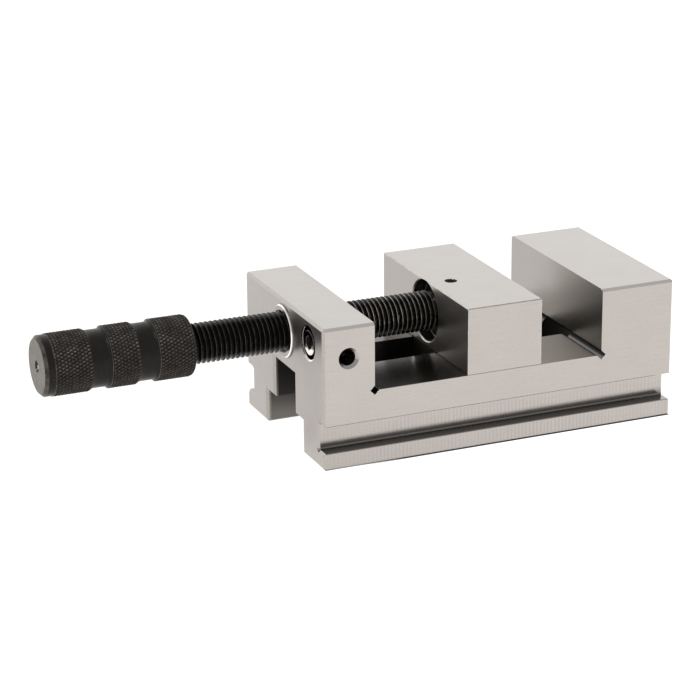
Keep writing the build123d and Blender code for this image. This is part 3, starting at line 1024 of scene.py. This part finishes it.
spindle = Turning(64)
spindle.tip(spindle_start_x)
spindle.rings(
    (spindle_start_x, SHANK_RADIUS - SHANK_CHAMFER),
    (spindle_start_x + SHANK_CHAMFER, SHANK_RADIUS),
    (thread_start_x, SHANK_RADIUS),
)
thread_sizes = (THREAD_RADIUS, CORE_RADIUS, THREAD_PITCH, THREAD_CHAMFER)
cut_thread(spindle, thread_start_x, thread_end_x, *thread_sizes)
spindle.rings(
    (thread_end_x, NOSE_RADIUS),
    (neck_x - NECK_HALF, NOSE_RADIUS),
    (neck_x - NECK_HALF, NECK_RADIUS),
    (neck_x + NECK_HALF, NECK_RADIUS),
    (neck_x + NECK_HALF, NOSE_RADIUS),
    (nose_end_x - NOSE_CHAMFER, NOSE_RADIUS),
    (nose_end_x, NOSE_RADIUS - NOSE_CHAMFER),
)
spindle.tip(nose_end_x)
on_axis = Matrix.Translation((0, 0, axis_height))
threaded_spindle = finish_mesh(spindle.make("threaded_spindle", on_axis, black_thread))
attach(threaded_spindle, "spindle")
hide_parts("spindle")
print("thread turns:", round((thread_end_x - handle_inner_x) / THREAD_PITCH, 1))

# %% [markdown]
# ## The knurled handle
# A diamond knurl is pressed in by two rollers with slanted teeth, so that greasy fingers keep
# their hold. The grooves cross and leave small pyramids. Here the height of each point is the
# lower of the two grooves that pass near it. The points lie on a grid on which both sets of
# grooves fall exactly on the diagonals, so every groove is a clean line. Two smooth waists
# part the three knurled bands, and the outer end has a smooth rim.

# %% Handle: outline
HANDLE_RADIUS = (handle_high.y - handle_low.y) / 2 / MM
RIM_RADIUS = HANDLE_RADIUS - 0.35
WAIST_RADIUS = HANDLE_RADIUS - 0.95
TEETH_ROUND = 52
POINTS_PER_TOOTH = 8
DIAMOND_LENGTH = 2.7
KNURL_DEPTH = 0.45
FLAT_PEAK = 0.82
ROW_STEP = DIAMOND_LENGTH / POINTS_PER_TOOTH
BANDS = [(4.2, 18.4), (26.3, 37.1), (45.2, 58.2)]
WAISTS = [(18.4, 26.3), (37.1, 45.2)]
HANDLE_LENGTH = handle_inner_x - handle_face_x
CORNER_DROP = 1.8


def knurl_turns(x, columns):
    """Where each point of a ring lies in the rising and in the falling grooves, in turns."""
    shift = x / DIAMOND_LENGTH
    place = np.arange(columns) / POINTS_PER_TOOTH
    return (place + shift) % 1, (place - shift) % 1


def knurl(x, columns):
    """Height of the knurl, from 0 in a groove to 1 on a peak, all round at one place."""
    rising, falling = (2 * np.abs(turn - 0.5) for turn in knurl_turns(x, columns))
    return np.minimum(np.minimum(rising, falling), FLAT_PEAK) / FLAT_PEAK


def lit_crest(x, columns):
    """Painted highlight: a dash on the lower side of each pyramid, over slight wear on the peaks.
    """
    along, falling = knurl_turns(x, columns)
    across = 2 * np.abs(falling - 0.5)
    dash = np.clip(1.3 - np.abs(along - 0.2) / 0.2, 0, 1) * np.clip((across - 0.15) / 0.3, 0, 1)
    return np.maximum(0.35 * knurl(x, columns), dash)


def groove_lean(row, columns):
    """Which diagonal of each face in this row lies in a groove."""
    column = np.arange(columns)
    half = POINTS_PER_TOOTH // 2
    rising = (column + 1 + row) % POINTS_PER_TOOTH == half
    falling = (column - row) % POINTS_PER_TOOTH == half
    return np.where(falling, 1, np.where(rising, -1, 0))


def handle_surface(x):
    """Peak radius of the knurl: straight, then rounded over at the inner end."""
    past = max(0.0, (x - BANDS[-1][1]) / (HANDLE_LENGTH - BANDS[-1][1]))
    return HANDLE_RADIUS - CORNER_DROP * (1 - math.sqrt(max(0.0, 1 - past**2)))


def knurled_band(part, start, end):
    """Adds rows of knurl between two places, the first and the last at the band's edges."""
    first_row = math.floor(start / ROW_STEP) + 1
    last_row = math.ceil(end / ROW_STEP) - 1
    rows = [(start, None)]
    for row in range(first_row, last_row + 1):
        lean = groove_lean(row - 1, part.columns) if row > first_row else None
        rows.append((row * ROW_STEP, lean))
    rows.append((end, None))
    for x, lean in rows:
        radius = handle_surface(x) - KNURL_DEPTH * (1 - knurl(x, part.columns))
        part.ring(x, radius, lit_crest(x, part.columns), lean)


print("diamonds round the handle:", TEETH_ROUND)

# %% Handle: from the centre hole to the shank bore
CENTRE_RADIUS = 2.4
PILOT_RADIUS = 0.8
HOLE_SLOPE = math.tan(math.radians(30))
CENTRE_DEPTH = CENTRE_RADIUS / HOLE_SLOPE
PILOT_START = (CENTRE_RADIUS - PILOT_RADIUS) / HOLE_SLOPE
GLINT_ANGLE = 0.45
GLINT_WIDTH = 0.3
FACE_CHAMFER = 1.2
CHAMFER_HIGHLIGHT = 0.5
SHANK_BORE = 6.01
THREAD_POCKET_RADIUS = 8.15
SHANK_BORE_DEPTH = 45.0
STEP_DROP = 0.45
WAIST_FALL = 2.4
WAIST_RISE = 1.4
BLEND_STEPS = 7

grip = Turning(TEETH_ROUND * POINTS_PER_TOOTH, handle_face_x)
grip.tip(CENTRE_DEPTH)
grip.rings((CENTRE_DEPTH, PILOT_RADIUS), (PILOT_START, PILOT_RADIUS))
# A painted glint on one side of the centre hole's cone.
glint_turn = np.abs((grip.angles + GLINT_ANGLE + np.pi) % (2 * np.pi) - np.pi)
for depth in np.linspace(0.9, 0.1, 9):
    glint = np.clip(1.6 - glint_turn / GLINT_WIDTH, 0, 1) * (0.25 < depth < 0.55)
    cone_radius = CENTRE_RADIUS - (CENTRE_RADIUS - PILOT_RADIUS) * depth
    grip.ring(PILOT_START * depth, cone_radius, glint)
grip.rings((0.0, CENTRE_RADIUS), (0.0, RIM_RADIUS - FACE_CHAMFER))
# The face chamfer and the start of each knurled band get a light line: wear and a painted
# highlight.
grip.ring(0.0, RIM_RADIUS - FACE_CHAMFER, CHAMFER_HIGHLIGHT)
grip.ring(FACE_CHAMFER, RIM_RADIUS, CHAMFER_HIGHLIGHT)
grip.rings((FACE_CHAMFER + 0.2, RIM_RADIUS), (BANDS[0][0] - 0.3, RIM_RADIUS))
grip.ring(BANDS[0][0], HANDLE_RADIUS - 0.1, 1.0)
for band, waist in zip(BANDS, WAISTS):
    knurled_band(grip, *band)
    for past in np.linspace(0, 1, BLEND_STEPS)[1:]:
        drop = STEP_DROP + (1 - STEP_DROP) * (1 - (1 - past) ** 2)
        radius = HANDLE_RADIUS - (HANDLE_RADIUS - WAIST_RADIUS) * drop
        grip.ring(waist[0] + WAIST_FALL * past, radius)
    for past in np.linspace(0, 1, BLEND_STEPS):
        radius = WAIST_RADIUS + (HANDLE_RADIUS - WAIST_RADIUS) * past**2
        grip.ring(waist[1] - WAIST_RISE * (1 - past), radius, float(past == 1))
knurled_band(grip, BANDS[2][0], HANDLE_LENGTH - 0.01)
grip.rings(
    (HANDLE_LENGTH, HANDLE_RADIUS - CORNER_DROP - KNURL_DEPTH),
    (HANDLE_LENGTH, THREAD_POCKET_RADIUS),
    (HANDLE_LENGTH - HIDDEN_RUN_IN, THREAD_POCKET_RADIUS),
    (HANDLE_LENGTH - HIDDEN_RUN_IN, SHANK_BORE),
    (HANDLE_LENGTH - SHANK_BORE_DEPTH, SHANK_BORE),
)
grip.tip(HANDLE_LENGTH - SHANK_BORE_DEPTH)
knurled_handle = finish_mesh(grip.make("knurled_handle", on_axis, black_knurl), sharp_angle=20.0)
knurled_handle.data.materials.append(handle_face)
knurled_handle.data.materials.append(centre_hole)
for polygon in knurled_handle.data.polygons:
    depth = polygon.center.x / MM - handle_face_x
    off_axis = math.hypot(polygon.center.y, polygon.center.z - axis_height)
    if depth < 0.001:
        polygon.material_index = 1
    elif depth < CENTRE_DEPTH and off_axis < CENTRE_RADIUS * MM:
        polygon.material_index = 2
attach(knurled_handle, "spindle")
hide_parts("handle")

# %% [markdown]
# ## Cap screws
# Socket head cap screws clamp the stop rod and hold the keeper plate. Their heads have fine
# serrations, a rounded upper edge and a hexagonal socket. The same chain of rings makes them:
# a hexagon is a ring whose radius rises towards its six corners.

# %% Cap screw
HEAD_RADIUS = 5.0
HEAD_HEIGHT = 6.0
HEAD_ROUNDING = 0.5
TOOTH = [0.0, 0.7, 1.0, 0.7]
TOOTH_DEPTH = 0.3
SOCKET_WIDTH = 5.0
SOCKET_DEPTH = 3.0
M6_SIZES = (3.0, 2.39, 1.0, 0.6)


def hexagon(width, angles):
    """Radius of a hexagon in every direction, from its width across flats."""
    from_middle = (angles + np.pi / 6) % (np.pi / 3) - np.pi / 6
    return width / 2 / np.cos(from_middle)


def cap_screw(length, teeth=36):
    """M6 cap screw along X. The head's outer face is at 0 and the shank points to +X."""
    screw = Turning(teeth * len(TOOTH))
    ridge = np.tile(TOOTH, teeth)
    socket = hexagon(SOCKET_WIDTH, screw.angles)
    screw.tip(SOCKET_DEPTH + SOCKET_WIDTH / 4)
    screw.rings(
        (SOCKET_DEPTH, SOCKET_WIDTH / 2),
        (SOCKET_DEPTH, socket),
        (0.1, socket),
        (0.0, socket * 1.04),
    )
    for angle in np.radians(np.linspace(0, 90, 7)):
        tooth_depth = TOOTH_DEPTH * math.sin(angle) ** 2
        edge = HEAD_RADIUS - HEAD_ROUNDING * (1 - math.sin(angle))
        x = HEAD_ROUNDING * (1 - math.cos(angle))
        screw.ring(x, edge - tooth_depth * (1 - ridge), ridge)
    screw.ring(HEAD_HEIGHT - 0.5, HEAD_RADIUS - TOOTH_DEPTH * (1 - ridge), ridge)
    screw.rings(
        (HEAD_HEIGHT - 0.3, HEAD_RADIUS - TOOTH_DEPTH),
        (HEAD_HEIGHT, HEAD_RADIUS - TOOTH_DEPTH),
        (HEAD_HEIGHT, M6_SIZES[1]),
    )
    cut_thread(screw, HEAD_HEIGHT, HEAD_HEIGHT + length, *M6_SIZES)
    screw.tip(HEAD_HEIGHT + length)
    return screw


clamp_place = Matrix.Translation((clamp_low.x, clamp_middle.y, clamp_middle.z))
stop_clamp = finish_mesh(cap_screw(10.0).make("stop_clamp_cap_screw", clamp_place, bright_steel))
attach(stop_clamp, "vise_body")
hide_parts("stop_clamp_screw")

# %% Keeper screws, heads down
KEEPER_INSET = 5.0 * MM
KEEPER_LENGTH = 14.0
keeper_low, keeper_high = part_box("keeper_screws")
point_up = Matrix.Rotation(math.radians(-90), 4, "Y")
keeper_pieces = []
for x in (keeper_low.x + KEEPER_INSET, keeper_high.x - KEEPER_INSET):
    place = Matrix.Translation((x, 0, keeper_low.z)) @ point_up
    keeper_screw = cap_screw(KEEPER_LENGTH)
    keeper_pieces.append(keeper_screw.make("keeper_cap_screw", place, black_screws))
both_screws = bmesh.new()
for piece in keeper_pieces:
    both_screws.from_mesh(piece.data)
both_screws.to_mesh(keeper_pieces[0].data)
both_screws.free()
bpy.data.objects.remove(keeper_pieces[1])
keeper_caps = keeper_pieces[0]
keeper_caps.name = "keeper_cap_screws"
finish_mesh(keeper_caps)
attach(keeper_caps, "movable_jaw")
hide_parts("keeper_screws")
